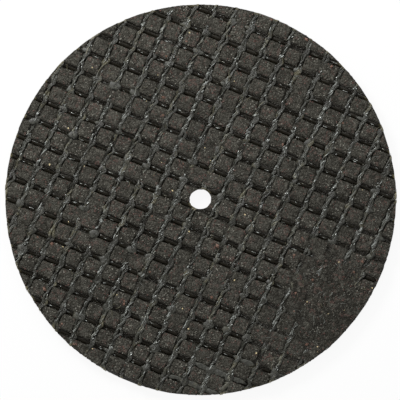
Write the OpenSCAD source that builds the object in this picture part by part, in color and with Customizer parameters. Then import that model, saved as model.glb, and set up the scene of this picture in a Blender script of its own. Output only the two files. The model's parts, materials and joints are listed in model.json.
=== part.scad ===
// Reinforced cut-off wheel: a thin pressed disc of abrasive grit and resin, with a
// woven glass mesh moulded into both faces. It is one solid that lies flat on its
// back face, with the spindle axis on +Z. Lengths are in millimetres.

/* [Wheel] */
// Outside diameter of the disc
wheel_d = 32; // [20:0.5:60]
// Thickness over the grit pads of both faces
wheel_t = 1.1; // [0.9:0.05:3]
// Diameter of the mandrel hole
bore_d = 1.7; // [1:0.05:6]

/* [Glass mesh] */
// Distance from one warp strand to the next
warp_pitch = 1.64; // [1.2:0.01:4]
// Distance from one weft strand to the next
weft_pitch = 1.69; // [1.2:0.01:4]
// Width of a warp strand at its foot
warp_w = 0.42; // [0.3:0.01:0.44]
// Width of a warp strand's crest, which the press has flattened
warp_crest_w = 0.22; // [0.1:0.01:0.28]
// How far a warp strand stands above the floor of its channel
warp_rise = 0.18; // [0.12:0.01:0.3]
// Angle from the warp to the weft, a little off square
weave_angle = 91.6; // [85:0.1:95]

/* [Grit pads] */
// Depth of the channels that the mesh leaves between the pads
channel_depth = 0.2; // [0.12:0.01:0.3]
// Width of a channel that holds a warp strand
warp_channel_w = 0.52; // [0.44:0.01:0.9]
// Width of a channel whose floor is a weft strand
weft_channel_w = 0.44; // [0.3:0.01:0.9]

/* [Front face] */
// Direction of the warp, from +X
front_angle = 66.4; // [0:0.1:180]
// Distance of the nearest warp strand from the axis
front_warp_shift = 0.24; // [-0.6:0.01:0.6]
// Distance of the nearest weft strand from the axis
front_weft_shift = 0.74; // [-0.8:0.01:0.8]
// Radius of the patch where grit buries the mesh
patch_r = 4.4; // [2:0.1:6]
// How far that patch fills the channels
patch_rise = 0.19; // [0.1:0.01:0.3]
// Distance of that patch from the axis
patch_reach = 13; // [8:0.1:16]
// Direction of that patch, from +X
patch_angle = -38; // [-180:1:180]

/* [Back face] */
// Direction of the warp, from +X
back_angle = 24; // [0:0.1:180]
// Distance of the nearest warp strand from the axis
back_warp_shift = 0.4; // [-0.6:0.01:0.6]
// Distance of the nearest weft strand from the axis
back_weft_shift = 0.3; // [-0.8:0.01:0.8]

/* [Hidden] */
$fn = 96;
wheel_r = wheel_d / 2;
// Level of the channel floors under the front face
front_floor = wheel_t - channel_depth;
// Lines of the mesh on each side of the axis
warp_lines = ceil(wheel_r / warp_pitch) + 1;
weft_lines = ceil(wheel_r / weft_pitch) + 1;
// Part of a rim pad that has to lie inside the rim for the pad to be there
rim_share = 0.25;
// Overshoot of a cut past the disc
overshoot = 1;
// Depth to which pads and strands are bedded in the core
bed = 0.05;
// Diameter of the blank before its rim is trimmed
blank_d = wheel_d + 4 * overshoot;

// Point at distance u across the warp and v across the weft, with the warp along X
function mesh_point(u, v) = [(u * cos(weave_angle) - v) / sin(weave_angle), u];

// Outline of one grit pad, from its corner of least u and v
module pad(u, v) {
    u_end = u + warp_pitch - warp_channel_w;
    v_end = v + weft_pitch - weft_channel_w;
    polygon([mesh_point(u, v), mesh_point(u_end, v), mesh_point(u_end, v_end), mesh_point(u, v_end)]);
}

// Outlines of all the pads of one face
module pads(warp_shift, weft_shift) {
    reach = wheel_r + (0.5 - rim_share) * (warp_pitch - warp_channel_w);
    for (i = [-warp_lines : warp_lines], j = [-weft_lines : weft_lines]) {
        u = i * warp_pitch + warp_shift;
        v = j * weft_pitch + weft_shift;
        if (norm(mesh_point(u + warp_pitch / 2, v + weft_pitch / 2)) < reach)
            pad(u + warp_channel_w / 2, v + weft_channel_w / 2);
    }
}

// One pressed warp strand along X, bedded in the floor at z = 0
module warp_strand() {
    lean = (warp_w - warp_crest_w) / 2 / warp_rise;
    foot = warp_w / 2 + bed * lean;
    crest = warp_crest_w / 2;
    rotate([90, 0, 90])
        linear_extrude(blank_d, center = true)
            polygon([[-foot, -bed], [foot, -bed], [crest, warp_rise], [-crest, warp_rise]]);
}

// All the warp strands of one face
module warp_strands(warp_shift) {
    for (i = [-warp_lines : warp_lines]) {
        u = i * warp_pitch + warp_shift;
        if (abs(u) < wheel_r - warp_channel_w)
            translate([0, u, 0]) warp_strand();
    }
}

// Pads and strands of one face, bedded in the channel floor at z = 0
module face_relief(angle, warp_shift, weft_shift) {
    rotate(angle) {
        translate([0, 0, -bed])
            linear_extrude(channel_depth + bed) pads(warp_shift, weft_shift);
        warp_strands(warp_shift);
    }
}

// The patch of the front face where grit has filled the channels
module buried_patch() {
    rotate(patch_angle)
        translate([patch_reach, 0, -bed])
            cylinder(r = patch_r, h = patch_rise + bed);
}

module front_face() {
    translate([0, 0, front_floor]) {
        face_relief(front_angle, front_warp_shift, front_weft_shift);
        buried_patch();
    }
}

module back_face() {
    translate([0, 0, channel_depth])
        mirror([0, 0, 1])
            face_relief(back_angle, back_warp_shift, back_weft_shift);
}

// The pressed disc between the channel floors, still with its flash
module disc_core() {
    translate([0, 0, channel_depth]) cylinder(d = blank_d, h = front_floor - channel_depth);
}

// The whole wheel: the pressed blank trimmed to its rim, with its mandrel hole
module wheel() {
    color("dimgray")
    difference() {
        intersection() {
            union() {
                disc_core();
                front_face();
                back_face();
            }
            translate([0, 0, -overshoot]) cylinder(r = wheel_r, h = wheel_t + 2 * overshoot);
        }
        translate([0, 0, -overshoot]) cylinder(d = bore_d, h = wheel_t + 2 * overshoot);
    }
}

wheel();
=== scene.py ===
"""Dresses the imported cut-off wheel: pressed grit, woven glass mesh, loose grains and fibre ends."""

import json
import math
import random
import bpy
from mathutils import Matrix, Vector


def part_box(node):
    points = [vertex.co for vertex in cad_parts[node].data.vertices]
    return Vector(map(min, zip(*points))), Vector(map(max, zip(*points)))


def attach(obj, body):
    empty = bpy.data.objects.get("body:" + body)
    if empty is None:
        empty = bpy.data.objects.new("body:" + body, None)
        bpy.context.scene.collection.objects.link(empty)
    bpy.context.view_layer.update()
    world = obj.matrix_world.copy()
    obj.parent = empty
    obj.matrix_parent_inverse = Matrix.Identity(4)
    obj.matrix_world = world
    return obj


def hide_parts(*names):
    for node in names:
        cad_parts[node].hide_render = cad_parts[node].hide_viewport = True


bl_info = {
    "name": "Cut-off wheel",
    "version": (1, 0, 0),
    "blender": (4, 5, 0),
    "location": "3D View > Sidebar > Wheel",
    "description": "Models the grit, the glass mesh and the cut fibres of a reinforced cut-off wheel",
    "category": "Mesh",
}

from collections import namedtuple

import bmesh
import bpy
from bpy.props import FloatProperty, FloatVectorProperty, IntProperty, PointerProperty
from mathutils import Color, Euler, Matrix, Vector, noise

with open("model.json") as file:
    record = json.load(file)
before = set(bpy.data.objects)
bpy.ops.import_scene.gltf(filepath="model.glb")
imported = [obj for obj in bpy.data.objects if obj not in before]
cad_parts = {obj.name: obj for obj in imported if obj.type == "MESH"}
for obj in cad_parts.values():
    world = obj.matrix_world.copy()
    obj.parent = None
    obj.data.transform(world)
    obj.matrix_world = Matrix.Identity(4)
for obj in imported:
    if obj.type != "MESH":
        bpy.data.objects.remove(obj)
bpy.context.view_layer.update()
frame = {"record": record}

# Lengths inside the shape functions are in millimetres
MM = 0.001
NODE = "wheel"
BODY = "root"
YARN_LAYERS = ("along", "side", "strand", "knot")
PHOTO_WIDTH = 400
# Depth of the bare grit below the face, which its loose grains stand up to
GRIT_DROP = 0.03
# Tones of a grain: from dark to pale up to PALE_TONE, rust up to RUST_TONE, and two of their own
PALE_TONE = 0.8
RUST_TONE = 0.86
LARGE_RUST_TONE = 0.9
# A tone of its own for grains with the sparkle colour, partly a painted glint
SPARKLE_TONE = 0.95
# Broken fibres in the grit
SCRAP_COUNT = 240
# What the random draws of the fibres and of the resin add to the seed
FIBRE_DRAW = 100
RESIN_DRAW = 200
# What the fixed random numbers of a crossing are for, and what each adds to the seed
LUCK = {
    "slot": 3, "knot": 11, "arch": 17, "web": 23, "frayed": 31, "neck": 41, "thin": 43,
    "warp_end": 51, "weft_end": 53, "steep": 61, "corner": 67,
}
# Share of the floor's own white that the eye sees, and how far the floor lies below the wheel
FLOOR_GLOW = 0.91
FLOOR_DROP = 0.02
# Tints of what a surface mirrors
PLAIN = (1.0, 1.0, 1.0, 1.0)
WARM = (1.0, 0.98, 0.92, 1.0)
# Places beside the buried patch where grit covers the mesh in part: X, Y and reach in mm, and the share
THIN_COVERS = ((6.9, -11.1, 3.7, 0.46), (13.4, -3.9, 3.2, 0.3))
# Resin on the yarns: place, half widths across and along the warp, height, depth, whether it is a web,
# and the weft strand that it lies on
Spot = namedtuple("Spot", "u v wide long tall sink web line", defaults=(0.0, None))
BORE_MOUNT = next(m for m in frame["record"]["mounts"] if m["name"] == "bore")
WHEEL_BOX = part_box(NODE)


def length(name, description, millimetres):
    """A length property with its default in millimetres."""
    default = millimetres * MM
    return FloatProperty(name=name, description=description, default=default, unit="LENGTH", precision=6)


def number(name, description, default):
    """A plain number."""
    return FloatProperty(name=name, description=description, default=default)


def angle(name, description, degrees):
    """An angle property with its default in degrees."""
    default = math.radians(degrees)
    return FloatProperty(name=name, description=description, default=default, unit="ROTATION")


def colour(name, description, red, green, blue):
    """A colour property with its default as a screen shows it, from 0 to 255."""
    return FloatVectorProperty(
        name=name,
        description=description,
        default=(red / 255, green / 255, blue / 255),
        subtype="COLOR_GAMMA",
        min=0,
        max=1,
    )


class WheelSizes(bpy.types.PropertyGroup):
    """Sizes of the disc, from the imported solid."""

    diameter: length("Diameter", "Outside diameter", (WHEEL_BOX[1][0] - WHEEL_BOX[0][0]) / MM)
    thickness: length("Thickness", "From face to face", (WHEEL_BOX[1][2] - WHEEL_BOX[0][2]) / MM)
    bore: length("Bore", "Radius of the mandrel hole", BORE_MOUNT["dims"]["r_mm"])
    rim_chips: length("Rim chips", "How far the rim wanders from a true circle", 0.04)


class MeshSizes(bpy.types.PropertyGroup):
    """Sizes of the woven glass mesh."""

    warp_pitch: length("Warp pitch", "From one warp strand to the next", 1.64)
    weft_pitch: length("Weft pitch", "From one weft strand to the next", 1.693)
    weave_angle: angle("Weave angle", "From the warp to the weft", 91.58)
    front_angle: angle("Front warp", "Direction of the front warp from +X", 66.38)
    front_warp_shift: length("Front warp shift", "Nearest warp strand to the axis", 0.24)
    front_weft_shift: length("Front weft shift", "Nearest weft strand to the axis", 0.741)
    back_angle: angle("Back warp", "Direction of the back warp from +X", 24)
    back_warp_shift: length("Back warp shift", "Nearest warp strand to the axis", 0.4)
    back_weft_shift: length("Back weft shift", "Nearest weft strand to the axis", 0.3)
    knot_width: length("Knot width", "Width of a warp strand over a weft strand", 0.52)
    ply_width: length("Ply width", "Width of one of the two plies of a warp strand", 0.22)
    ply_height: length("Ply height", "Thickness of one ply", 0.17)
    weft_width: length("Weft width", "Width of a weft strand", 0.36)
    sway: length("Sway", "How far a strand wanders from its line", 0.04)


class GritSizes(bpy.types.PropertyGroup):
    """Sizes of the pressed grit."""

    crevice: length("Crevice", "Depth of the gap beside a warp strand", 0.2)
    slot: length("Slot", "Depth of the gap over a weft strand", 0.3)
    grain: length("Grain", "Radius of a middling loose grain", 0.07)
    spacing: length("Grain spacing", "Distance between loose grains", 0.165)
    patch_x: length("Patch X", "Middle of the patch where grit buries the mesh", 11.3)
    patch_y: length("Patch Y", "Middle of the patch where grit buries the mesh", -8.7)
    patch_radius: length("Patch radius", "Reach of that patch", 4.9)
    window_x: length("Window X", "Slot that stays open inside that patch", 13.75)
    window_y: length("Window Y", "Slot that stays open inside that patch", -6.4)
    pool_x: length("Pool X", "Middle of the place where resin fills the channels", 2.2)
    pool_y: length("Pool Y", "Middle of the place where resin fills the channels", -14.5)
    pool_length: length("Pool length", "Reach of that place along the rim", 5.0)
    pool_width: length("Pool width", "Reach of that place towards the axis", 1.5)
    seed: IntProperty(name="Seed", description="Start of the random draws", default=7)


class WheelColours(bpy.types.PropertyGroup):
    """Colours as a screen shows them."""

    grit: colour("Grit", "Resin between the grains", 89, 87, 79)
    grit_dark: colour("Dark grit", "Hollows in the resin", 39, 37, 30)
    # Black resin deep in the slots, also used as painted shade in the grit's hollows
    pit_and_shade: colour("Pit", "Resin deep in the slots", 18, 15, 8)
    grain_dark: colour("Dark grain", "Darkest grains", 37, 35, 27)
    grain_mid: colour("Middling grain", "Most grains", 79, 78, 71)
    grain_pale: colour("Pale grain", "Lightest grains", 121, 119, 110)
    grain_rust: colour("Rust grain", "Red-brown grains", 91, 68, 62)
    rust_pale: colour("Pale rust grain", "Large red-brown grains", 110, 84, 72)
    # Sparkle: pale clean grains, partly a painted glint
    sparkle: colour("Sparkle", "Bright clean grains", 220, 202, 158)
    glass: colour("Glass strand", "Resin-coated glass yarn", 66, 67, 59)
    glass_dark: colour("Dark strand", "Gaps between the fibres", 25, 24, 15)
    # Pale fibre colour: bare glass, and also a painted glint on fibres and resin drops
    fibre: colour("Fibre", "Single glass fibres", 190, 195, 190)
    khaki: colour("Khaki strand", "Bare fibres", 118, 112, 84)
    weft: colour("Weft strand", "Resin-soaked weft", 23, 20, 12)
    floor: colour("Floor", "Studio floor", 250, 250, 250)


class StageSettings(bpy.types.PropertyGroup):
    """Camera and light."""

    disc_pixels: number("Disc radius", "Radius in the photo, in pixels", 195.69)
    centre_x: number("Centre X", "Disc centre in the photo, in pixels", 200.63)
    centre_y: number("Centre Y", "Disc centre in the photo, in pixels", 199.87)
    lens: FloatProperty(name="Lens", description="Focal length", default=200, unit="CAMERA")
    key: number("Key", "Strength of the key light", 2.35)
    fill: number("Fill", "Strength of the fill light", 0.6)
    key_distance: length("Key distance", "From the wheel to the key light", 95)
    key_soft: angle("Key softness", "Breadth of the key light", 22)
    key_height: angle("Key height", "Elevation of the key light", 42)
    key_side: angle("Key side", "Direction that the key light comes from", 130)
    fill_distance: length("Fill distance", "From the wheel to the fill light", 60)
    fill_soft: angle("Fill softness", "Breadth of the fill light", 40)
    fill_height: angle("Fill height", "Elevation of the fill light", 58)
    fill_side: angle("Fill side", "Direction that the fill light comes from", 65)
    dome: number("Dome", "Strength of the light all round", 0.45)


class WheelSettings(bpy.types.PropertyGroup):
    """All that a user would change."""

    sizes: PointerProperty(type=WheelSizes)
    mesh: PointerProperty(type=MeshSizes)
    grit: PointerProperty(type=GritSizes)
    colours: PointerProperty(type=WheelColours)
    stage: PointerProperty(type=StageSettings)


def ease(low, high, value):
    """Rises smoothly from 0 at low to 1 at high."""
    share = min(1.0, max(0.0, (value - low) / (high - low)))
    return share * share * (3 - 2 * share)


def ripple(x, y, z, per_mm):
    """Smooth noise from -1 to 1 with about one swell for each 1 / per_mm."""
    return noise.noise(Vector((x * per_mm, y * per_mm, z * per_mm)))


def bell(value, width):
    """Falls from 1 at 0 to nearly 0 at twice the width."""
    return math.exp(-(value / width) ** 2)


def blunt(value, power):
    """A power of the value's size, with the value's sign."""
    return math.copysign(abs(value) ** power, value)


class Wheel:
    """The disc's own shape, in millimetres."""

    def __init__(self, settings):
        sizes, grit = settings.sizes, settings.grit
        self.radius = sizes.diameter / MM / 2
        self.thickness = sizes.thickness / MM
        self.bore = sizes.bore / MM
        self.chips = sizes.rim_chips / MM
        patch = (grit.patch_x / MM, grit.patch_y / MM, grit.patch_radius / MM, 1.0)
        self.covers = (patch, *THIN_COVERS)
        for name in ("window_x", "window_y", "pool_x", "pool_y", "pool_length", "pool_width"):
            setattr(self, name, getattr(grit, name) / MM)

    def rim(self, x, y, z):
        """Radius of the ragged rim in the direction of x, y."""
        reach = self.radius / math.hypot(x, y)
        x, y = x * reach, y * reach
        rough = 1.3 * ripple(x, y, z, 0.35) + 0.35 * ripple(x, y, z, 2.4)
        return self.radius + self.chips * (rough - 0.6)

    def hole(self, x, y, z):
        """Radius of the worn hole towards x, y: a little off round, with a nick at the top."""
        turn = math.atan2(y, x)
        oval = 0.01 + 0.045 * math.cos(2 * turn) - 0.03 * math.cos(turn) + 0.06 * math.sin(turn)
        nick = 0.06 * bell(turn - 1.48, 0.2) - 0.05 * bell(turn - 2.2, 0.35)
        return self.bore + oval + nick + 0.4 * self.chips * ripple(x, y, z, 1.7)

    def pool(self, x, y):
        """Whether resin fills the channels of the front face here."""
        along = (x - self.pool_x) / self.pool_length
        across = (y - self.pool_y) / self.pool_width
        return math.hypot(along, across) < 1

    def patch(self, x, y):
        """How far the grit buries the mesh of the front face, from 0 to 1."""
        ragged = 0.3 * ripple(x, y, 3, 0.5) + 0.15 * ripple(x, y, 5, 1.5)
        window = ease(0.45, 0.85, math.hypot(x - self.window_x, y - self.window_y))
        buried = 0.0
        for middle_x, middle_y, radius, share in self.covers:
            reach = math.hypot(x - middle_x, y - middle_y) / radius
            buried = max(buried, share * (1 - ease(0.7, 1.1, reach + ragged)))
        return window * buried


class Strands:
    """The strands of one direction of the mesh, by their distances from the axis."""

    def __init__(self, direction, pitch, shift):
        self.pitch = pitch / MM
        self.shift = shift / MM
        self.across = (-math.sin(direction), math.cos(direction))

    def line(self, number):
        """Distance of a strand."""
        return number * self.pitch + self.shift

    def gap(self, distance):
        """Number of the gap between two strands."""
        return math.floor((distance - self.shift) / self.pitch)

    def nearest(self, distance):
        """Number of the nearest strand and the distance from its line."""
        number = round((distance - self.shift) / self.pitch)
        return number, distance - number * self.pitch - self.shift

    def numbers(self, wheel):
        """Numbers of the strands that cross the disc."""
        count = math.ceil(wheel.radius / self.pitch) + 1
        return [i for i in range(-count, count + 1) if abs(self.line(i)) < wheel.radius - 0.1]

    def grid(self, reach, shares):
        """Places of a grid's lines across the strands, with lines at some shares of each pitch."""
        count = math.ceil(reach / self.pitch) + 1
        places = [self.line(i + share) for i in range(-count, count + 1) for share in shares]
        return [place for place in places if abs(place) < reach]


class Weave:
    """The mesh of one face: u is the distance across the warp, v across the weft."""

    # Distances from a strand's middle between which a hollow's wall rises
    crevice_wall = (0.16, 0.29)
    slot_wall = (0.17, 0.24)
    corner_wall = (0.36, 0.5)
    # Draws above this fill a slot with resin
    filled = 0.88

    def __init__(self, settings, front):
        mesh, grit = settings.mesh, settings.grit
        self.wheel = Wheel(settings)
        self.front = front
        self.name = "front" if front else "back"
        self.seed = 0 if front else 40
        parts = ("_angle", "_warp_shift", "_weft_shift")
        direction, warp_shift, weft_shift = (getattr(mesh, self.name + part) for part in parts)
        self.warp = Strands(direction, mesh.warp_pitch, warp_shift)
        self.weft = Strands(direction + mesh.weave_angle, mesh.weft_pitch, weft_shift)
        self.sway_size = mesh.sway / MM
        self.crevice = grit.crevice / MM
        self.slot = grit.slot / MM
        (a, b), (c, d) = self.warp.across, self.weft.across
        self.turn = a * d - b * c

    def luck(self, i, j, kind):
        """A fixed random number from 0 to 1 for one crossing of this face's mesh."""
        return noise.cell(Vector((i + 0.5, j + 0.5, self.seed + LUCK[kind] + 0.5)))

    def lines(self, x, y):
        """Distances u and v of a point."""
        (a, b), (c, d) = self.warp.across, self.weft.across
        return a * x + b * y, c * x + d * y

    def place(self, u, v):
        """The point at distances u and v."""
        (a, b), (c, d) = self.warp.across, self.weft.across
        return (d * u - b * v) / self.turn, (a * v - c * u) / self.turn

    def warp_sway(self, i, v):
        """Sideways wander of warp strand i."""
        return self.sway_size * noise.noise(Vector((i * 5.7, v * 0.45, self.seed + 1.3)))

    def weft_sway(self, j, u):
        """Sideways wander of weft strand j."""
        return self.sway_size * noise.noise(Vector((u * 0.35, j * 5.3, self.seed + 8.1)))

    def nearest_warp(self, u, v):
        """Number of the nearest warp strand and the distance from its middle."""
        i, off = self.warp.nearest(u)
        return i, off - self.warp_sway(i, v)

    def nearest_weft(self, u, v):
        """Number of the nearest weft strand and the distance from its middle."""
        j, off = self.weft.nearest(v)
        return j, off - self.weft_sway(j, u)

    def buried(self, x, y):
        """How far grit buries the mesh here."""
        return self.wheel.patch(x, y) if self.front else 0.0

    def slot_fill(self, u, j):
        """How far resin fills the slot that weft strand j leaves at u."""
        draw = self.luck(self.warp.gap(u), j, "slot")
        if draw > self.filled:
            return 0.25 + 0.65 * (draw - self.filled) / (1 - self.filled)
        return 0.12 * draw

    def depth(self, x, y):
        """Depth of the pressed grit below the face, without its fine bumps."""
        u, v = self.lines(x, y)
        u += 0.04 * ripple(x, y, self.seed, 2.3)
        v += 0.04 * ripple(x, y, self.seed + 5, 2.3)
        i, du = self.nearest_warp(u, v)
        j, dv = self.nearest_weft(u, v)
        clean = 0.4 + 0.6 * ease(-0.4, 0.1, ripple(x, y, self.seed + 9, 0.75))
        beside = clean * (1 - ease(*self.crevice_wall, abs(du)))
        steep = self.luck(self.warp.gap(u), j, "steep")
        slope = min(1.0, max(0.0, (dv + 0.4 - 0.14 * steep) / (0.44 - 0.28 * steep)))
        bury = self.buried(x, y)
        over = slope * (1 - ease(*self.slot_wall, dv)) * (1 - self.slot_fill(u, j)) * (1 - bury)
        corner = 1 - ease(*self.corner_wall, math.hypot(du, 0.9 * (dv + 0.04)))
        corner *= 0.2 + 0.6 * self.luck(i, j, "corner")
        deep = max(self.crevice * beside, self.slot * over, self.crevice * clean * corner)
        return deep * (1 - 0.85 * bury ** 2)

    def height(self, depth):
        """Level of a point at a depth below this face."""
        return self.wheel.thickness - depth if self.front else depth


def face_sheet(bm, weave, warp_shares, weft_shares):
    """Lays one face of the disc as a grid along the mesh, trimmed to the rim and the hole."""
    wheel = weave.wheel
    margin = 0.3
    reach = wheel.radius + margin
    us = weave.warp.grid(reach, warp_shares)
    vs = weave.weft.grid(reach, weft_shares)
    columns, rows = len(us) - 1, len(vs) - 1
    made = bmesh.ops.create_grid(bm, x_segments=columns, y_segments=rows, size=1)
    verts = made["verts"]
    for vert in verts:
        u = us[round((vert.co.x + 1) / 2 * columns)]
        v = vs[round((vert.co.y + 1) / 2 * rows)]
        vert.co = (*weave.place(u, v), 0)
    outside = {vert: math.hypot(vert.co.x, vert.co.y) > wheel.radius for vert in verts}
    inside = {vert: math.hypot(vert.co.x, vert.co.y) < wheel.bore for vert in verts}
    faces = {face for vert in verts for face in vert.link_faces}
    waste = [f for f in faces if all(outside[v] for v in f.verts) or all(inside[v] for v in f.verts)]
    bmesh.ops.delete(bm, geom=waste, context="FACES")
    verts = [vert for vert in verts if vert.is_valid]
    for vert in verts:
        x, y, _ = vert.co
        level = weave.height(0)
        if outside[vert]:
            pull = wheel.rim(x, y, level) / math.hypot(x, y)
        elif inside[vert]:
            pull = wheel.hole(x, y, level) / math.hypot(x, y)
        else:
            pull = 1
        vert.co = (x * pull, y * pull, 0)
    return verts


def boundary(verts, far):
    """Edges of the open rim, or of the open hole, of a face."""
    edges = {edge for vert in verts for edge in vert.link_edges if edge.is_boundary}
    middle = 5
    return [edge for edge in edges if (edge.verts[0].co.xy.length > middle) == far]


def shape_face(weave, verts, deep_layer, patch_layer):
    """Presses the mesh's hollows into one face."""
    for vert in verts:
        x, y, _ = vert.co
        depth = weave.depth(x, y)
        rough = 0.018 * ripple(x, y, weave.seed, 1.1) + 0.012 * ripple(x, y, weave.seed, 3.7)
        edge = weave.wheel.radius - math.hypot(x, y)
        worn = 0.025 * (1 - ease(0.0, 0.3, edge))
        vert.co.z = weave.height(depth + rough + worn + GRIT_DROP)
        vert[deep_layer] = depth
        vert[patch_layer] = weave.buried(x, y) ** 2


def wall(bm, wheel, upper, lower, radius_at):
    """Joins the edges of both faces with a rough upright wall."""
    made = bmesh.ops.bridge_loops(bm, edges=upper + lower)
    middle = wheel.thickness / 2
    upright = [
        edge for edge in made["edges"]
        if (edge.verts[0].co.z > middle) != (edge.verts[1].co.z > middle)
    ]
    cut = bmesh.ops.subdivide_edges(bm, edges=upright, cuts=5, use_grid_fill=True)
    fresh = {vert for vert in cut["geom_inner"] if isinstance(vert, bmesh.types.BMVert)}
    for vert in fresh:
        x, y, z = vert.co
        pull = radius_at(x, y, z) / math.hypot(x, y)
        vert.co = (x * pull, y * pull, z)


def finish_piece(bm, name, material, smooth):
    """Turns a mesh made in millimetres into a piece of the wheel."""
    bmesh.ops.recalc_face_normals(bm, faces=bm.faces)
    bmesh.ops.scale(bm, vec=(MM, MM, MM), verts=bm.verts)
    for face in bm.faces:
        face.smooth = smooth
    mesh = bpy.data.meshes.new(name)
    bm.to_mesh(mesh)
    bm.free()
    mesh.materials.append(material)
    piece = bpy.data.objects.new(name, mesh)
    bpy.context.scene.collection.objects.link(piece)
    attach(piece, BODY)
    return piece


def tube(bm, rings, notes=None, layers=()):
    """Skins a run of closed rings, closes both ends and notes numbers on the points."""
    sides = len(rings[0])
    last = len(rings) - 1
    made = bmesh.ops.create_grid(bm, x_segments=last, y_segments=sides, size=1)
    verts = made["verts"]
    ends = {0: [], last: []}
    for vert in verts:
        ring = round((vert.co.x + 1) / 2 * last)
        side = round((vert.co.y + 1) / 2 * sides) % sides
        vert.co = rings[ring][side]
        for layer, value in zip(layers, notes[ring][side] if notes else ()):
            vert[layer] = value
        if ring in ends:
            ends[ring].append(vert)
    bmesh.ops.remove_doubles(bm, verts=verts, dist=1e-6)
    for loop in ends.values():
        edges = {edge for vert in loop if vert.is_valid for edge in vert.link_edges if edge.is_boundary}
        bmesh.ops.holes_fill(bm, edges=list(edges), sides=sides + 1)


def keep_on_disc(wheel, x, y, z, proud):
    """Pulls a strand's point back to the rim or out to the hole."""
    r = math.hypot(x, y)
    limit = wheel.rim(x, y, z) + proud
    hole = wheel.hole(x, y, z)
    if r > limit:
        return x * limit / r, y * limit / r, z
    if r < hole:
        return x * hole / r, y * hole / r, z
    return x, y, z


def steps_between(start, end, step):
    """Evenly spaced places."""
    count = max(2, math.ceil((end - start) / step))
    return [start + (end - start) * k / count for k in range(count + 1)]


def lay_strand(bm, wheel, step, margin, middle_at, ring_at, layers):
    """Skins the runs of a strand that lie on the disc, from a ring of points and notes at each step."""
    runs, run = [], []
    for place in steps_between(-wheel.radius, wheel.radius, step):
        if wheel.bore - margin < math.hypot(*middle_at(place)) < wheel.radius + margin:
            run.append(place)
        elif run:
            runs.append(run)
            run = []
    runs.append(run)
    for run in runs:
        if len(run) > 3:
            rings = [list(ring_at(place)) for place in run]
            points = [[point for point, _ in ring] for ring in rings]
            notes = [[note for _, note in ring] for ring in rings]
            tube(bm, points, notes, layers)


def twist(weave, i, v):
    """How far the two plies of warp strand i have turned about each other."""
    even = math.pi * (weave.weft.shift - v) / weave.weft.pitch
    return even + 1.1 * ripple(i * 5.7, v, weave.seed, 0.5)


def ply_place(weave, i, ply, v, mesh):
    """Middle, half width and depth of the crest of one ply."""
    centre = weave.warp.line(i) + weave.warp_sway(i, v)
    j, dv = weave.nearest_weft(centre, v)
    turn = twist(weave, i, v) + math.pi * ply
    over = bell(dv, 0.42)
    fat = 0.6 + 0.8 * weave.luck(i, j, "knot")
    lean = blunt(math.cos(turn), 0.75)
    spread = (mesh.knot_width - mesh.ply_width) / MM / 2 * (1 + (fat - 1) * over)
    bend = 0.05 * bell(dv - 0.42, 0.25) - 0.14 * bell(dv + 0.02, 0.25)
    u = centre + bend + spread * lean + 0.045 * ripple(i * 3.1 + ply * 9.7, v, weave.seed, 1.6)
    gap = weave.weft.gap(v)
    thin = 0.35 * weave.luck(i, gap, "thin") * (1 - over)
    swell = 0.3 * over + 0.5 * ripple(i * 4.3 + ply * 7.9, v, weave.seed, 1.7) - thin
    half = mesh.ply_width / MM / 2 * (1 + swell)
    x, y = weave.place(u, v)
    under = 0.5 - 0.5 * math.sin(turn)
    neck = 0.05 + 0.15 * weave.luck(i, gap, "neck")
    crest = neck * (1 - over) + 0.11 * under * (1 - over) + 0.025 * ripple(u, v, 7, 0.9)
    return u, half, crest + weave.buried(x, y) * (0.1 + 0.09 * ripple(u, v, weave.seed + 12, 1.3))


def warp_ply(bm, weave, i, ply, mesh, sides, step, layers):
    """One ply of a warp yarn, which swaps sides with the other between two weft strands."""
    tall = mesh.ply_height / MM / 2
    line = weave.warp.line(i)

    def middle_at(v):
        return weave.place(line + weave.warp_sway(i, v), v)

    def ring_at(v):
        u, half, crest = ply_place(weave, i, ply, v, mesh)
        knot = bell(weave.nearest_weft(u, v)[1] + 0.05, 0.3)
        stub = 0.05 * weave.luck(i, ply + (v > 0) * 3, "warp_end")
        for k in range(sides):
            turn = math.tau * (k + 0.5) / sides
            side = half * math.cos(turn)
            wrinkle = 0.035 * ripple(side * 1.6, v * 0.7, i * 3.1 + ply, 6.0)
            lift = tall * blunt(math.sin(turn), 0.6) + wrinkle
            x, y = weave.place(u + side, v)
            z = weave.height(crest + tall - lift)
            yield keep_on_disc(weave.wheel, x, y, z, stub), (v, side, i * 2 + ply, knot)

    lay_strand(bm, weave.wheel, step, 0.25, middle_at, ring_at, layers)


def weft_crest(weave, j, u, v):
    """Depth of the back of weft strand j: it arches up in each slot and dips under each warp strand."""
    proud = 0.4 + 0.65 * weave.luck(weave.warp.gap(u), j, "arch")
    x, y = weave.place(u, v)
    away = abs(weave.nearest_warp(u, v)[1])
    return 0.28 - 0.13 * proud * ease(0.22, 0.55, away) + 0.1 * weave.buried(x, y)


def weft_strand(bm, weave, j, mesh, sides, step, layers):
    """One weft yarn."""
    half = mesh.weft_width / MM / 2
    rise = 0.09
    line = weave.weft.line(j)

    def middle_at(u):
        return weave.place(u, line + weave.weft_sway(j, u))

    def ring_at(u):
        v = line + weave.weft_sway(j, u)
        crest = weft_crest(weave, j, u, v)
        stub = 0.04 * weave.luck((u > 0) * 3, j, "weft_end")
        for k in range(sides):
            turn = math.tau * (k + 0.5) / sides
            side = half * math.cos(turn)
            wrinkle = 0.015 * ripple(u * 0.3, side * 3, j * 2.7, 5.0)
            lift = rise * math.sin(turn) - 0.1 * side + wrinkle
            x, y = weave.place(u, v + side)
            z = weave.height(crest + rise - lift)
            yield keep_on_disc(weave.wheel, x, y, z, stub), (u, side, j, 0.0)

    lay_strand(bm, weave.wheel, step, half, middle_at, ring_at, layers)


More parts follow.
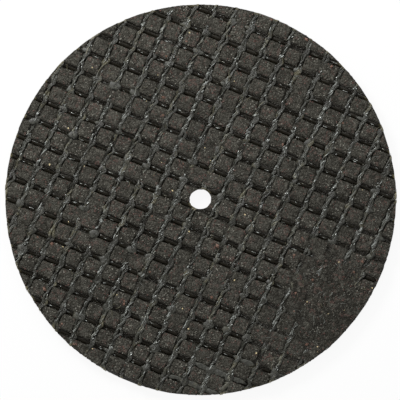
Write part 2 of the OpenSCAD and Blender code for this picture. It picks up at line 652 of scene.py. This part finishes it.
def grain_places(weave, spacing, draw):
    """Places for loose grains, mostly on the pads."""
    wheel = weave.wheel
    steps = math.ceil(wheel.radius / spacing)
    for column in range(-steps, steps + 1):
        for row in range(-steps, steps + 1):
            x = (column + draw.uniform(-0.5, 0.5)) * spacing
            y = (row + draw.uniform(-0.5, 0.5)) * spacing
            keep = draw.random()
            r = math.hypot(x, y)
            if not wheel.bore + 0.1 < r < wheel.radius - 0.11:
                continue
            depth = weave.depth(x, y)
            if keep < 1.05 - 8 * depth or keep < 0.02:
                yield x, y, depth


def islands(bm):
    """The points of each separate part of a mesh."""
    seen = set()
    for first in list(bm.verts):
        if first in seen:
            continue
        seen.add(first)
        part = [first]
        for vert in part:
            for edge in vert.link_edges:
                other = edge.other_vert(vert)
                if other not in seen:
                    seen.add(other)
                    part.append(other)
        yield part


def copies(bm, count):
    """Doubles a small shape until there are enough, and gives the points of each copy."""
    made = 1
    while made < count:
        bmesh.ops.duplicate(bm, geom=bm.verts[:] + bm.edges[:] + bm.faces[:])
        made *= 2
    parts = list(islands(bm))
    spare = [vert for part in parts[count:] for vert in part]
    bmesh.ops.delete(bm, geom=spare, context="VERTS")
    return parts[:count]


def grain_tone(draw, x, y, seed, bury):
    """The tone of one grain."""
    if draw.random() < 0.002:
        return SPARKLE_TONE
    rusty = 0.05 + 0.75 * ease(0.2, 0.5, ripple(x, y, seed + 20, 1.5))
    if draw.random() < rusty:
        large = draw.random() <= 0.012 + 0.06 * bury
        return LARGE_RUST_TONE if large else draw.uniform(PALE_TONE + 0.01, RUST_TONE)
    level = 1 + 0.8 * ripple(x, y, seed + 33, 0.6)
    return min(PALE_TONE, PALE_TONE * draw.random() ** 1.15 * level * (1 - 0.2 * bury))


def grains(weave, grit, spacing, draw):
    """A mesh of crushed grains, each an octahedron squeezed and turned its own way."""
    places = list(grain_places(weave, spacing, draw))
    bm = bmesh.new()
    tone_layer = bm.verts.layers.float.new("tone")
    bmesh.ops.create_uvsphere(bm, u_segments=4, v_segments=2, radius=1)
    size = grit.grain / MM
    for (x, y, depth), grain in zip(places, copies(bm, len(places))):
        bury = weave.buried(x, y)
        tone = grain_tone(draw, x, y, weave.seed, bury)
        radius = size * draw.uniform(*((1.8, 2.8) if tone == LARGE_RUST_TONE else (0.55, 1.35)))
        squeeze = Matrix.Diagonal([radius * draw.uniform(0.7, 1.25) for _ in range(3)])
        turn = Euler([draw.uniform(0, math.tau) for _ in range(3)]).to_matrix()
        level = weave.height(depth + GRIT_DROP + radius * draw.uniform(-0.2, 0.45))
        middle = Vector((x, y, level))
        shape = turn @ squeeze
        for vert in grain:
            vert.co = shape @ vert.co + middle
            vert[tone_layer] = tone
    return bm


def mesh_crossings(weave):
    """Numbers and places of the crossings of the mesh that lie well on the disc."""
    wheel = weave.wheel
    for i in weave.warp.numbers(wheel):
        for j in weave.weft.numbers(wheel):
            u, v = weave.warp.line(i), weave.weft.line(j)
            x, y = weave.place(u, v)
            if wheel.bore + 0.6 < math.hypot(x, y) < wheel.radius - 0.5:
                yield i, j, u, v


def yarn_fibres(weave, draw):
    """Runs of single fibres along the twist of the warp yarns, and frayed tufts on some knots."""
    for i, j, u, v in mesh_crossings(weave):
        bury = weave.buried(*weave.place(u, v))
        frayed = weave.luck(i, j, "frayed")
        for _ in range(round(1 + 6 * frayed ** 2 + 16 * bury * (1 - bury))):
            start = v + draw.uniform(-0.75, 0.75)
            offset = draw.uniform(-0.06, 0.16)
            span, slant = draw.uniform(0.18, 0.6), draw.uniform(0.0, 0.5)
            yield i, start, span, offset, slant, draw.uniform(0.012, 0.03)
        for _ in range(draw.randint(3, 8) if frayed > 0.55 else 0):
            start = v + draw.choice((draw.uniform(-0.7, -0.4), draw.uniform(0.15, 0.45)))
            offset = draw.uniform(-0.12, 0.18)
            span, slant = draw.uniform(0.12, 0.3), draw.uniform(-1.5, 1.5)
            yield i, start, span, offset, slant, draw.uniform(0.018, 0.036)


def scraps(weave, draw):
    """Runs of broken fibres pressed into the grit any way round, most of them in the buried patch."""
    wheel = weave.wheel
    while True:
        r, turn = wheel.radius * math.sqrt(draw.random()), draw.uniform(0, math.tau)
        x, y = r * math.cos(turn), r * math.sin(turn)
        if wheel.bore + 0.4 < r < wheel.radius - 0.4 and draw.random() < 0.06 + 0.5 * weave.buried(x, y):
            yield x, y, draw.uniform(0, math.tau), draw.uniform(0.15, 0.7), draw.uniform(-0.7, 0.7)


def loose_fibres(weave, mesh, draw):
    """Single fibres on the yarns and broken ones in the grit."""
    runs = list(yarn_fibres(weave, draw))
    pieces = scraps(weave, draw)
    steps = 5
    unit = [[(t / steps, math.cos(math.tau * k / 4), math.sin(math.tau * k / 4)) for k in range(4)]
            for t in range(steps + 1)]
    bm = bmesh.new()
    shine_layer = bm.verts.layers.float.new("shine")
    tube(bm, unit)
    fibres = copies(bm, len(runs) + SCRAP_COUNT)
    for (i, start, span, offset, slant, thick), fibre in zip(runs, fibres):
        # Share of the pale colour for this fibre: bare glass and painted glint together
        shine = draw.uniform(0.3, 1.0)
        line = weave.warp.line(i)
        for vert in fibre:
            t, a, b = vert.co
            v = start + t * span
            ply = 0 if math.sin(twist(weave, i, v)) > 0 else 1
            centre, _, crest = ply_place(weave, i, ply, v, mesh)
            side = offset + slant * (t - 0.5) * span
            dip = 0.05 * (2 * t - 1) ** 4 + 0.5 * max(0.0, abs(side) - 0.1)
            x, y = weave.place((centre + line) / 2 + side + a * thick, v)
            z = weave.height(crest + dip - b * thick)
            vert.co = keep_on_disc(weave.wheel, x, y, z, 0.03)
            vert[shine_layer] = shine
    for fibre in fibres[len(runs):]:
        x, y, turn, span, bend = next(pieces)
        thick = draw.uniform(0.012, 0.022)
        shine = draw.uniform(0.0, 0.3)
        for vert in fibre:
            t, a, b = vert.co
            aim = turn + bend * t
            px = x + span * t * math.cos(aim) - a * thick * math.sin(aim)
            py = y + span * t * math.sin(aim) + a * thick * math.cos(aim)
            dip = 0.04 * (2 * t - 1) ** 4 + 0.005
            pz = weave.height(weave.depth(px, py) * 0.6 + dip - b * thick)
            vert.co = keep_on_disc(weave.wheel, px, py, pz, 0.0)
            vert[shine_layer] = shine
    return bm


def resin_spots(weave, draw):
    """Webs round most knots, drops on their lit side and streaks on the weft in the slots; the drops and
    streaks are coloured as painted glints.
    """
    some = draw.uniform
    for i, j, u, v in mesh_crossings(weave):
        x, y = weave.place(u, v)
        if weave.buried(x, y) > 0.3:
            continue
        if weave.wheel.pool(x, y):
            yield Spot(u, v, some(0.36, 0.46), some(0.36, 0.46), tall=0.04, sink=0.055, web=1.0)
            yield Spot(u, v + 0.85, some(0.18, 0.26), 0.7, tall=0.04, sink=0.08, web=1.0)
        if weave.wheel.pool(*weave.place(u - 0.82, v)):
            yield Spot(u - 0.82, v - 0.04, 0.75, some(0.22, 0.3), tall=0.04, sink=0.075, web=1.0)
        if weave.luck(i, j, "web") > 0.25:
            yield Spot(u + some(-0.1, 0.12), v + some(-0.12, 0.12), some(0.3, 0.48), some(0.2, 0.42),
                       tall=0.05, sink=some(0.06, 0.1), web=1.0)
        for _ in range(draw.choice((1, 2, 3, 4))):
            yield Spot(u + some(-0.15, 0.18), v + some(-0.72, -0.3), some(0.02, 0.055), some(0.05, 0.15),
                       tall=0.06, sink=some(0.0, 0.04))
        for _ in range(draw.choice((0, 1, 1, 2))):
            yield Spot(u - some(0.35, 1.0), v + some(-0.12, 0.14), some(0.08, 0.24), some(0.016, 0.034),
                       tall=0.035, sink=-0.01, line=j)


def resin_drops(weave, draw):
    """Smooth resin on the yarns."""
    spots = list(resin_spots(weave, draw))
    bm = bmesh.new()
    web_layer = bm.verts.layers.float.new("web")
    bmesh.ops.create_uvsphere(bm, u_segments=12, v_segments=4, radius=1)
    for (u, v, wide, long, tall, sink, web, line), drop in zip(spots, copies(bm, len(spots))):
        lean = draw.uniform(0.0, 0.6) if long > wide else 0.0
        for vert in drop:
            a, b, c = vert.co
            frayed = 1 + 0.7 * web * ripple(a + u, b + v, 2.0, 1.3)
            drop_u = u + (a * wide + lean * b * long) * frayed
            x, y = weave.place(drop_u, v + b * long * frayed)
            bed = 0.0 if line is None else weft_crest(weave, line, drop_u, v)
            rough = 0.3 * ripple(x, y, u + v, 5.0)
            z = weave.height(bed + sink - blunt(c, 1 - 0.6 * web) * tall * (1 + rough))
            vert.co = keep_on_disc(weave.wheel, x, y, z, 0.0)
            vert[web_layer] = web
    return bm


class Wire:
    """A socket of a material's nodes that takes part in sums."""

    def __init__(self, recipe, socket):
        self.recipe = recipe
        self.socket = socket

    def __add__(self, other):
        return self.recipe.sum("ADD", self, other)

    def __radd__(self, other):
        return self.recipe.sum("ADD", other, self)

    def __sub__(self, other):
        return self.recipe.sum("SUBTRACT", self, other)

    def __rsub__(self, other):
        return self.recipe.sum("SUBTRACT", other, self)

    def __mul__(self, other):
        return self.recipe.sum("MULTIPLY", self, other)

    def __rmul__(self, other):
        return self.recipe.sum("MULTIPLY", other, self)

    def over(self, limit):
        """1 where the value is over a limit, else 0."""
        return self.recipe.sum("GREATER_THAN", self, limit)

    def rise(self, low, high):
        """Rises smoothly from 0 at low to 1 at high."""
        inputs = {"Value": self, "From Min": low, "From Max": high}
        return self.recipe.wire("ShaderNodeMapRange", "Result", inputs, interpolation_type="SMOOTHSTEP")


class Recipe:
    """The nodes of one material."""

    def __init__(self, name):
        self.material = bpy.data.materials.new(name)
        self.material.use_nodes = True
        self.tree = self.material.node_tree
        self.tree.nodes.clear()

    def node(self, kind, inputs=None, **settings):
        """Adds a node, sets it up and fills or links its sockets."""
        node = self.tree.nodes.new(kind)
        for name, value in settings.items():
            setattr(node, name, value)
        for name, value in (inputs or {}).items():
            if isinstance(value, Wire):
                self.tree.links.new(value.socket, node.inputs[name])
            else:
                node.inputs[name].default_value = value
        return node

    def wire(self, kind, output, inputs=None, **settings):
        """Adds a node and gives one of its outputs."""
        return Wire(self, self.node(kind, inputs, **settings).outputs[output])

    def sum(self, operation, first, second):
        """Adds one Math node."""
        return self.wire("ShaderNodeMath", 0, {0: first, 1: second}, operation=operation)

    def blend(self, share, first, second):
        """Mixes two colours."""
        return self.wire("ShaderNodeMix", 2, {0: share, 6: first, 7: second}, data_type="RGBA")

    def attribute(self, name):
        """A number stored on the mesh's points."""
        return self.wire("ShaderNodeAttribute", "Fac", attribute_name=name)

    def place(self, stretch=(1, 1, 1)):
        """Object coordinates in millimetres, stretched along each axis."""
        inputs = {0: self.wire("ShaderNodeTexCoord", "Object"), 1: [share / MM for share in stretch]}
        return self.wire("ShaderNodeVectorMath", "Vector", inputs, operation="MULTIPLY")

    def reach(self):
        """Distance from the spindle axis in millimetres."""
        inputs = {0: self.place((1, 1, 0))}
        return self.wire("ShaderNodeVectorMath", "Value", inputs, operation="LENGTH")

    def cloud(self, where, per_mm, detail=2.0, rough=0.5):
        """Cloudy noise around 0.5."""
        inputs = {"Vector": where, "Scale": per_mm, "Detail": detail, "Roughness": rough}
        return self.wire("ShaderNodeTexNoise", "Fac", inputs)

    def stir(self, where, per_mm, amount):
        """Coordinates pushed about by noise."""
        inputs = {"Vector": where, "Scale": per_mm, "Detail": 1.0}
        noisy = self.wire("ShaderNodeTexNoise", "Color", inputs)
        inputs = {0: noisy, 1: [amount] * 3, 2: where}
        return self.wire("ShaderNodeVectorMath", "Vector", inputs, operation="MULTIPLY_ADD")

    def cells(self, where, per_mm):
        """A random number for each grain, and the distance from the grain's edge."""
        inputs = {"Vector": where, "Scale": per_mm}
        edge = self.wire("ShaderNodeTexVoronoi", "Distance", inputs, feature="DISTANCE_TO_EDGE")
        tint = self.wire("ShaderNodeTexVoronoi", "Color", inputs)
        return self.wire("ShaderNodeSeparateColor", "Red", {"Color": tint}), edge

    def bump(self, height, depth_mm):
        """A normal bent by a height."""
        inputs = {"Height": height, "Distance": depth_mm * MM, "Strength": 1.0}
        return self.wire("ShaderNodeBump", "Normal", inputs)

    def coat(self, base, rough, shine, normal, tint=PLAIN, more=None):
        """The surface of a piece of the wheel."""
        inputs = {"Base Color": base, "Roughness": rough, "Specular IOR Level": shine,
                  "Specular Tint": tint, "Normal": normal, **(more or {})}
        return self.finish(self.wire("ShaderNodeBsdfPrincipled", "BSDF", inputs))

    def finish(self, surface):
        """The end of the recipe."""
        self.node("ShaderNodeOutputMaterial", {"Surface": surface})
        return self.material


def paint(value):
    """A screen colour as a shader's colour."""
    return (*Color(value).from_srgb_to_scene_linear(), 1)


def grit_material(colours):
    """Resin and fine grit, smoother in the slots and darker the deeper it lies: partly black resin,
    partly painted shade.
    """
    r = Recipe("pressed_grit")
    where = r.place()
    stirred = r.stir(where, 3.5, 0.16)
    # Depth of the hollows: makes the resin smoother and, as painted shade, darker
    deep = r.attribute("deep").rise(0.03, 0.17)
    patch = r.attribute("patch")
    coarse, coarse_edge = r.cells(stirred, 4.0)
    small, small_edge = r.cells(stirred, 8.0)
    fine = r.cloud(where, 9.0, 3.0, 0.7)
    broad = r.cloud(where, 0.5)
    mottle = (r.cloud(where, 1.8) - 0.5) * (0.5 + 1.5 * patch)
    tone = 0.35 * coarse + 0.35 * small + 0.5 * fine + 0.7 * (broad - 0.22) + mottle
    base = r.blend((tone - 0.08 * patch).rise(0.45, 1.15), paint(colours.grit_dark), paint(colours.grit))
    rust = (coarse + 0.6 * broad + 0.06 * patch).over(1.2) * 0.45
    base = r.blend(rust, base, paint(colours.grain_rust))
    bend = r.cloud(where, 0.9) - 0.5
    wrinkle = (1 - (bend * bend).rise(0.0, 0.002)) * (0.15 + 0.85 * patch)
    crack = 1 - coarse_edge.rise(0.0, 0.10) * small_edge.rise(0.0, 0.08)
    base = r.blend(crack * 0.75, base, paint(colours.pit_and_shade))
    base = r.blend(wrinkle * 0.8, base, paint(colours.pit_and_shade))
    # Painted shade: the deeper the hollow, the nearer to the pit colour, partly black resin and partly
    # shade
    base = r.blend(deep, base, paint(colours.pit_and_shade))
    height = 0.6 * coarse_edge.rise(0.0, 0.3) + 0.3 * small_edge.rise(0.0, 0.3)
    height = height + 0.5 * fine - 0.8 * wrinkle
    return r.coat(base, rough=0.7 - 0.3 * deep, shine=0.4, normal=r.bump(height, 0.07), tint=WARM)


def grain_material(colours):
    """Crushed grains, each of its own tone."""
    r = Recipe("crushed_grain")
    tone = r.attribute("tone")
    base = r.blend(tone.rise(0.05, 0.5), paint(colours.grain_dark), paint(colours.grain_mid))
    base = r.blend(tone.rise(0.5, PALE_TONE), base, paint(colours.grain_pale))
    base = r.blend(tone.over(PALE_TONE + 0.005), base, paint(colours.grain_rust))
    base = r.blend(tone.rise(RUST_TONE + 0.01, LARGE_RUST_TONE), base, paint(colours.rust_pale))
    # Painted glint, partly pale clean grit: the sparkle colour on a few grains
    base = r.blend(tone.over(SPARKLE_TONE - 0.02), base, paint(colours.sparkle))
    fine = r.cloud(r.place(), 12.0)
    return r.coat(base, rough=0.45 + 0.3 * fine, shine=0.4, normal=r.bump(fine, 0.02), tint=WARM)


def yarn_material(name, wheel, body, dark, bare, worn, tint, shine, rough, bumpy):
    """Glass yarn with streaks along its fibres and resin between them, bare where it is cut."""
    r = Recipe(name)
    along, side, strand, knot = (r.attribute(layer) for layer in YARN_LAYERS)
    inputs = {"X": along * 1.6, "Y": side * 26.0 + along * 3.0, "Z": strand * 7.3}
    streaks = r.cloud(r.wire("ShaderNodeCombineXYZ", "Vector", inputs), 1.0, 3.0, 0.6)
    where = r.place()
    broad = r.cloud(where, 0.7)
    fine = r.cloud(where, 7.0)
    shade = (0.5 * streaks + 0.5 * fine + 0.5 * (r.cloud(where, 1.1) - 0.5)).rise(0.38, 0.62)
    base = r.blend(shade * (1 - 0.6 * knot), dark, body)
    base = r.blend((broad + 0.5 * (streaks - 0.5)).rise(0.58, 0.76) * worn, base, bare)
    reach = r.reach()
    rim = wheel.radius - 0.25, wheel.radius + 0.02
    hole = wheel.bore + 0.02, wheel.bore + 0.25
    tip = reach.rise(*rim) + 1 - reach.rise(*hole)
    base = r.blend(tip * streaks.rise(0.3, 0.6), base, bare)
    normal = r.bump(0.5 * streaks + 0.5 * fine, bumpy)
    return r.coat(base, rough + 0.3 * fine, shine, normal, tint)


def fibre_material(colours):
    """Single glass fibres, some pale and some coated; the pale colour is partly bare glass and partly a
    painted glint.
    """
    r = Recipe("glass_fibre")
    where = r.place()
    broad = r.cloud(where, 1.3)
    fine = r.cloud(where, 8.0)
    # Painted glint, partly bare glass: the pale colour where the shine is high
    clean = r.attribute("shine") * (broad + 0.5 * fine).rise(0.5, 0.85)
    base = r.blend(clean, paint(colours.glass), paint(colours.fibre))
    base = r.blend(r.cloud(where, 0.4, 1.0).rise(0.52, 0.62) * 0.6, base, paint(colours.khaki))
    return r.coat(base, rough=0.2 + 0.3 * fine, shine=0.5, normal=r.bump(fine, 0.01))


def resin_material(colours):
    """Cured resin: dull webs, and shiny drops whose pale patches are a painted glint."""
    r = Recipe("cured_resin")
    where = r.place()
    web = r.attribute("web")
    broad = r.cloud(where, 0.9)
    fine = r.cloud(where, 6.0, 3.0, 0.6)
    # Painted glint: drops and weft streaks go pale in places
    drop = r.blend(fine.rise(0.35, 0.65), paint(colours.glass), paint(colours.fibre))
    sheet = r.blend(fine.rise(0.3, 0.7), paint(colours.glass_dark), paint(colours.glass))
    base = r.blend(web, drop, sheet)
    base = r.blend(broad.rise(0.55, 0.68) * (0.5 - 0.35 * web), base, paint(colours.khaki))
    gloss = {"Coat Weight": 0.9 - 0.8 * web, "Coat Roughness": 0.06}
    rough = 0.08 + 0.22 * fine + 0.3 * web
    return r.coat(base, rough, shine=0.6, normal=r.bump(fine, 0.03), more=gloss)


def floor_material(colours):
    """A pale floor that stays white to the eye and still takes the shadow."""
    r = Recipe("studio_floor")
    rays = ("Is Camera Ray", "Is Glossy Ray", "Is Transmission Ray")
    seen, mirrored, through = (r.wire("ShaderNodeLightPath", ray) for ray in rays)
    return r.finish(r.wire("ShaderNodeMixShader", "Shader", {
        "Fac": (seen + mirrored + through) * FLOOR_GLOW,
        1: r.wire("ShaderNodeBsdfDiffuse", "BSDF", {"Color": paint(colours.floor)}),
        2: r.wire("ShaderNodeEmission", "Emission", {"Color": (1, 1, 1, 1), "Strength": 1}),
    }))


class WheelOperator:
    """What the operators share."""

    bl_options = {"REGISTER", "UNDO"}

    def start(self, context):
        """The settings and the weaves of the front and back face."""
        settings = context.scene.cutoff_wheel
        return settings, Weave(settings, True), Weave(settings, False)


class WHEEL_OT_grit_disc(WheelOperator, bpy.types.Operator):
    """Make the pressed disc with the mesh's hollows in both faces"""

    bl_idname = "wheel.grit_disc"
    bl_label = "Grit disc"

    # Shares of a pitch at which the grid has a line, closest beside the strands
    warp_shares = (0, 0.08, 0.115, 0.15, 0.185, 0.22, 0.3, 0.4,
                   0.5, 0.6, 0.7, 0.78, 0.815, 0.85, 0.885, 0.92)
    weft_shares = (0, 0.05, 0.09, 0.115, 0.14, 0.18, 0.28, 0.4,
                   0.52, 0.64, 0.74, 0.8, 0.86, 0.91, 0.96)

    def execute(self, context):
        settings, front, back = self.start(context)
        wheel = front.wheel
        bm = bmesh.new()
        deep_layer = bm.verts.layers.float.new("deep")
        patch_layer = bm.verts.layers.float.new("patch")
        sheets = [
            face_sheet(bm, front, self.warp_shares, self.weft_shares),
            face_sheet(bm, back, self.warp_shares[::2], self.weft_shares[::2]),
        ]
        rims = [boundary(verts, True) for verts in sheets]
        holes = [boundary(verts, False) for verts in sheets]
        for weave, verts in zip((front, back), sheets):
            shape_face(weave, verts, deep_layer, patch_layer)
        wall(bm, wheel, *rims, wheel.rim)
        wall(bm, wheel, *holes, wheel.hole)
        piece = finish_piece(bm, "grit_disc", grit_material(settings.colours), True)
        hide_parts(NODE)
        return {"FINISHED"}


class WHEEL_OT_warp_strands(WheelOperator, bpy.types.Operator):
    """Make the twisted warp yarns of both faces"""

    bl_idname = "wheel.warp_strands"
    bl_label = "Warp strands"

    def execute(self, context):
        settings, front, back = self.start(context)
        colours = settings.colours
        material = yarn_material("warp_yarn", front.wheel, paint(colours.glass),
                                 paint(colours.glass_dark), paint(colours.khaki),
                                 worn=0.5, tint=PLAIN, shine=0.55, rough=0.2, bumpy=0.11)
        for weave, sides, step in ((front, 10, 0.11), (back, 8, 0.2)):
            bm = bmesh.new()
            layers = [bm.verts.layers.float.new(name) for name in YARN_LAYERS]
            for i in weave.warp.numbers(weave.wheel):
                for ply in (0, 1):
                    warp_ply(bm, weave, i, ply, settings.mesh, sides, step, layers)
            finish_piece(bm, "warp_strands_" + weave.name, material, True)
        return {"FINISHED"}


class WHEEL_OT_weft_strands(WheelOperator, bpy.types.Operator):
    """Make the weft yarns of both faces"""

    bl_idname = "wheel.weft_strands"
    bl_label = "Weft strands"

    def execute(self, context):
        settings, front, back = self.start(context)
        colours = settings.colours
        material = yarn_material("weft_yarn", front.wheel, paint(colours.weft),
                                 paint(colours.pit_and_shade), paint(colours.khaki),
                                 worn=0.0, tint=WARM, shine=0.25, rough=0.1, bumpy=0.02)
        for weave, sides, step in ((front, 12, 0.14), (back, 8, 0.24)):
            bm = bmesh.new()
            layers = [bm.verts.layers.float.new(name) for name in YARN_LAYERS]
            for j in weave.weft.numbers(weave.wheel):
                weft_strand(bm, weave, j, settings.mesh, sides, step, layers)
            finish_piece(bm, "weft_strands_" + weave.name, material, True)
        return {"FINISHED"}


class WHEEL_OT_loose_fibres(WheelOperator, bpy.types.Operator):
    """Lay single fibres on the warp yarns of the front face"""

    bl_idname = "wheel.loose_fibres"
    bl_label = "Loose fibres"

    def execute(self, context):
        settings = context.scene.cutoff_wheel
        draw = random.Random(settings.grit.seed + FIBRE_DRAW)
        bm = loose_fibres(Weave(settings, True), settings.mesh, draw)
        finish_piece(bm, "loose_fibres", fibre_material(settings.colours), True)
        return {"FINISHED"}


class WHEEL_OT_resin(WheelOperator, bpy.types.Operator):
    """Set webs and drops of cured resin at the crossings of the front face"""

    bl_idname = "wheel.resin"
    bl_label = "Resin"

    def execute(self, context):
        settings = context.scene.cutoff_wheel
        draw = random.Random(settings.grit.seed + RESIN_DRAW)
        bm = resin_drops(Weave(settings, True), draw)
        finish_piece(bm, "resin_drops", resin_material(settings.colours), True)
        return {"FINISHED"}


class WHEEL_OT_grains(WheelOperator, bpy.types.Operator):
    """Scatter crushed grains over the pads of both faces"""

    bl_idname = "wheel.grains"
    bl_label = "Grains"

    def execute(self, context):
        settings, front, back = self.start(context)
        material = grain_material(settings.colours)
        spacing = settings.grit.spacing / MM
        for weave, sparse in ((front, 1.0), (back, 1.3)):
            draw = random.Random(settings.grit.seed + weave.seed)
            bm = grains(weave, settings.grit, spacing * sparse, draw)
            finish_piece(bm, "grains_" + weave.name, material, False)
        return {"FINISHED"}


class WHEEL_OT_stage(WheelOperator, bpy.types.Operator):
    """Set up the floor, the light and the camera of the photo"""

    bl_idname = "wheel.stage"
    bl_label = "Stage"

    def execute(self, context):
        scene = context.scene
        settings = scene.cutoff_wheel
        self.lay_floor(scene, settings.colours)
        self.light(scene, settings.stage)
        self.aim_camera(scene, settings.stage, Wheel(settings))
        scene.view_settings.view_transform = "Standard"
        return {"FINISHED"}

    def lay_floor(self, scene, colours):
        """Lays a wide pale floor just under the wheel."""
        bm = bmesh.new()
        bmesh.ops.create_grid(bm, x_segments=4, y_segments=4, size=2)
        mesh = bpy.data.meshes.new("floor")
        bm.to_mesh(mesh)
        bm.free()
        mesh.materials.append(floor_material(colours))
        floor = bpy.data.objects.new("floor", mesh)
        floor.location.z = -FLOOR_DROP * MM
        scene.collection.objects.link(floor)

    def lamp(self, scene, stage, name):
        """Adds a round lamp that aims at the wheel."""
        strength = getattr(stage, name)
        parts = ("soft", "height", "side", "distance")
        soft, height, side, reach = (getattr(stage, name + "_" + part) for part in parts)
        lamp = bpy.data.lights.new(name, "AREA")
        lamp.shape = "DISK"
        lamp.size = 2 * reach * math.tan(soft / 2)
        lamp.energy = strength * math.pi * reach ** 2
        piece = bpy.data.objects.new(name, lamp)
        piece.rotation_euler = (math.pi / 2 - height, 0, side + math.pi / 2)
        piece.location = piece.rotation_euler.to_matrix() @ Vector((0, 0, reach))
        piece.visible_camera = False
        scene.collection.objects.link(piece)

    def light(self, scene, stage):
        """A key light from the upper left, a weak fill from the top and an even dome."""
        self.lamp(scene, stage, "key")
        self.lamp(scene, stage, "fill")
        world = bpy.data.worlds.new("studio")
        world.use_nodes = True
        background = world.node_tree.nodes["Background"]
        background.inputs["Color"].default_value = (1, 1, 1, 1)
        background.inputs["Strength"].default_value = stage.dome
        scene.world = world

    def aim_camera(self, scene, stage, wheel):
        """Looks straight down, with the disc as large and as far off the middle as in the photo."""
        data = bpy.data.cameras.new("camera")
        data.lens = stage.lens
        data.sensor_width = 36
        pixel = wheel.radius * MM / stage.disc_pixels
        view_width = PHOTO_WIDTH * pixel
        distance = view_width * data.lens / data.sensor_width
        data.clip_start = distance / 50
        data.clip_end = distance * 50
        camera = bpy.data.objects.new("camera", data)
        camera.location = (
            (PHOTO_WIDTH / 2 - stage.centre_x) * pixel,
            (stage.centre_y - PHOTO_WIDTH / 2) * pixel,
            wheel.thickness * MM + distance,
        )
        scene.collection.objects.link(camera)
        scene.camera = camera


class WHEEL_PT_panel(bpy.types.Panel):
    """The steps that build the wheel"""

    bl_idname = "WHEEL_PT_panel"
    bl_label = "Cut-off wheel"
    bl_space_type = "VIEW_3D"
    bl_region_type = "UI"
    bl_category = "Wheel"

    def draw(self, context):
        for operator in OPERATORS:
            self.layout.operator(operator.bl_idname)
        settings = context.scene.cutoff_wheel
        for group in (settings.sizes, settings.mesh, settings.grit, settings.colours, settings.stage):
            box = self.layout.box()
            for name in group.__annotations__:
                box.prop(group, name)


OPERATORS = (
    WHEEL_OT_grit_disc,
    WHEEL_OT_warp_strands,
    WHEEL_OT_weft_strands,
    WHEEL_OT_loose_fibres,
    WHEEL_OT_resin,
    WHEEL_OT_grains,
    WHEEL_OT_stage,
)
GROUPS = (WheelSizes, MeshSizes, GritSizes, WheelColours, StageSettings, WheelSettings)
CLASSES = (*GROUPS, *OPERATORS, WHEEL_PT_panel)


def register():
    for cls in CLASSES:
        bpy.utils.register_class(cls)
    bpy.types.Scene.cutoff_wheel = PointerProperty(type=WheelSettings)


def unregister():
    del bpy.types.Scene.cutoff_wheel
    for cls in reversed(CLASSES):
        bpy.utils.unregister_class(cls)


def main():
    register()
    bpy.ops.wheel.grit_disc()
    bpy.ops.wheel.warp_strands()
    bpy.ops.wheel.weft_strands()
    bpy.ops.wheel.loose_fibres()
    bpy.ops.wheel.resin()
    bpy.ops.wheel.grains()
    bpy.ops.wheel.stage()


if __name__ == "__main__":
    main()
